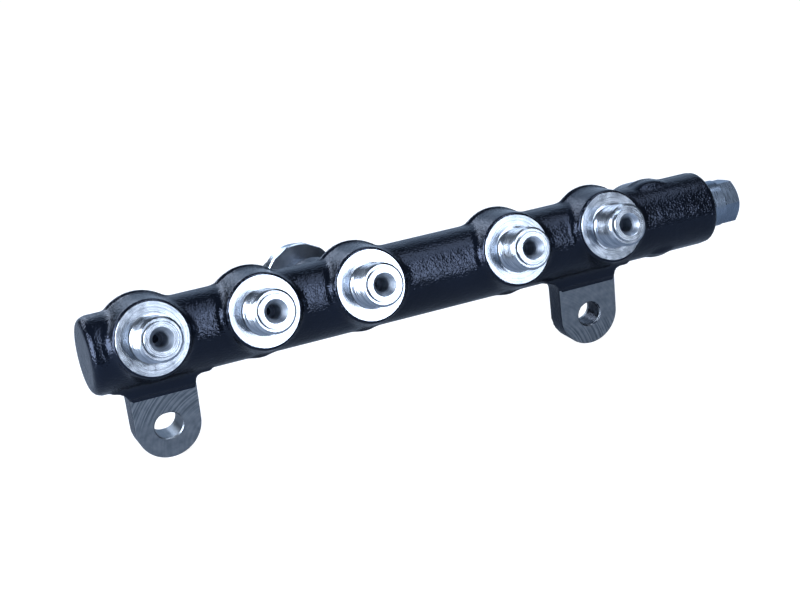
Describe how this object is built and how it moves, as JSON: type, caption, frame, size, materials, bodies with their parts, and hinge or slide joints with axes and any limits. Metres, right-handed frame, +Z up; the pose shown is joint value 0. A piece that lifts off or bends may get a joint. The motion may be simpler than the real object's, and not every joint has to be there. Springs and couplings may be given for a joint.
{
  "type": "fuel rail",
  "caption": "Forged high-pressure fuel rail of a diesel engine: a drilled tube with threaded pipe stubs, fixing lugs, a screw plug in its end and a pressure sensor.",
  "frame": {"origin": "centre of the right lug's round hole, on the milled face of the lug", "axes": "+X along the rail from the rounded end to the plug, +Y from the stubs' side to the back, square to the lug faces, +Z up from the lugs to the tube"},
  "size_m": [0.2323, 0.0661, 0.0542],
  "materials": {
    "black_paint": "semi-gloss black paint over a shot-blasted forging",
    "plug_steel": "zinc plated",
    "turned_steel": "fine turned",
    "sensor_steel": "satin blasted",
    "black_plastic": "moulded, fine grain",
    "carrier_plastic": "moulded",
    "board_green": "solder resist",
    "gold_plate": "plated",
    "seal_rubber": "moulded"
  },
  "bodies": {
    "root": {"rail_body": "black_paint", "end_plug": "plug_steel", "throttle_insert_1": "turned_steel", "throttle_insert_2": "turned_steel", "throttle_insert_3": "turned_steel", "throttle_insert_4": "turned_steel", "throttle_insert_5": "turned_steel", "sensor_port": "sensor_steel", "sensor_cell": "turned_steel", "sensor_carrier": "carrier_plastic", "sensor_board": "board_green", "sensor_spring_1": "gold_plate", "sensor_spring_2": "gold_plate", "sensor_spring_3": "gold_plate", "sensor_terminal_1": "gold_plate", "sensor_terminal_2": "gold_plate", "sensor_terminal_3": "gold_plate", "sensor_connector": "black_plastic", "sensor_sleeve": "sensor_steel", "sensor_seal": "seal_rubber"}
  },
  "joints": []
}
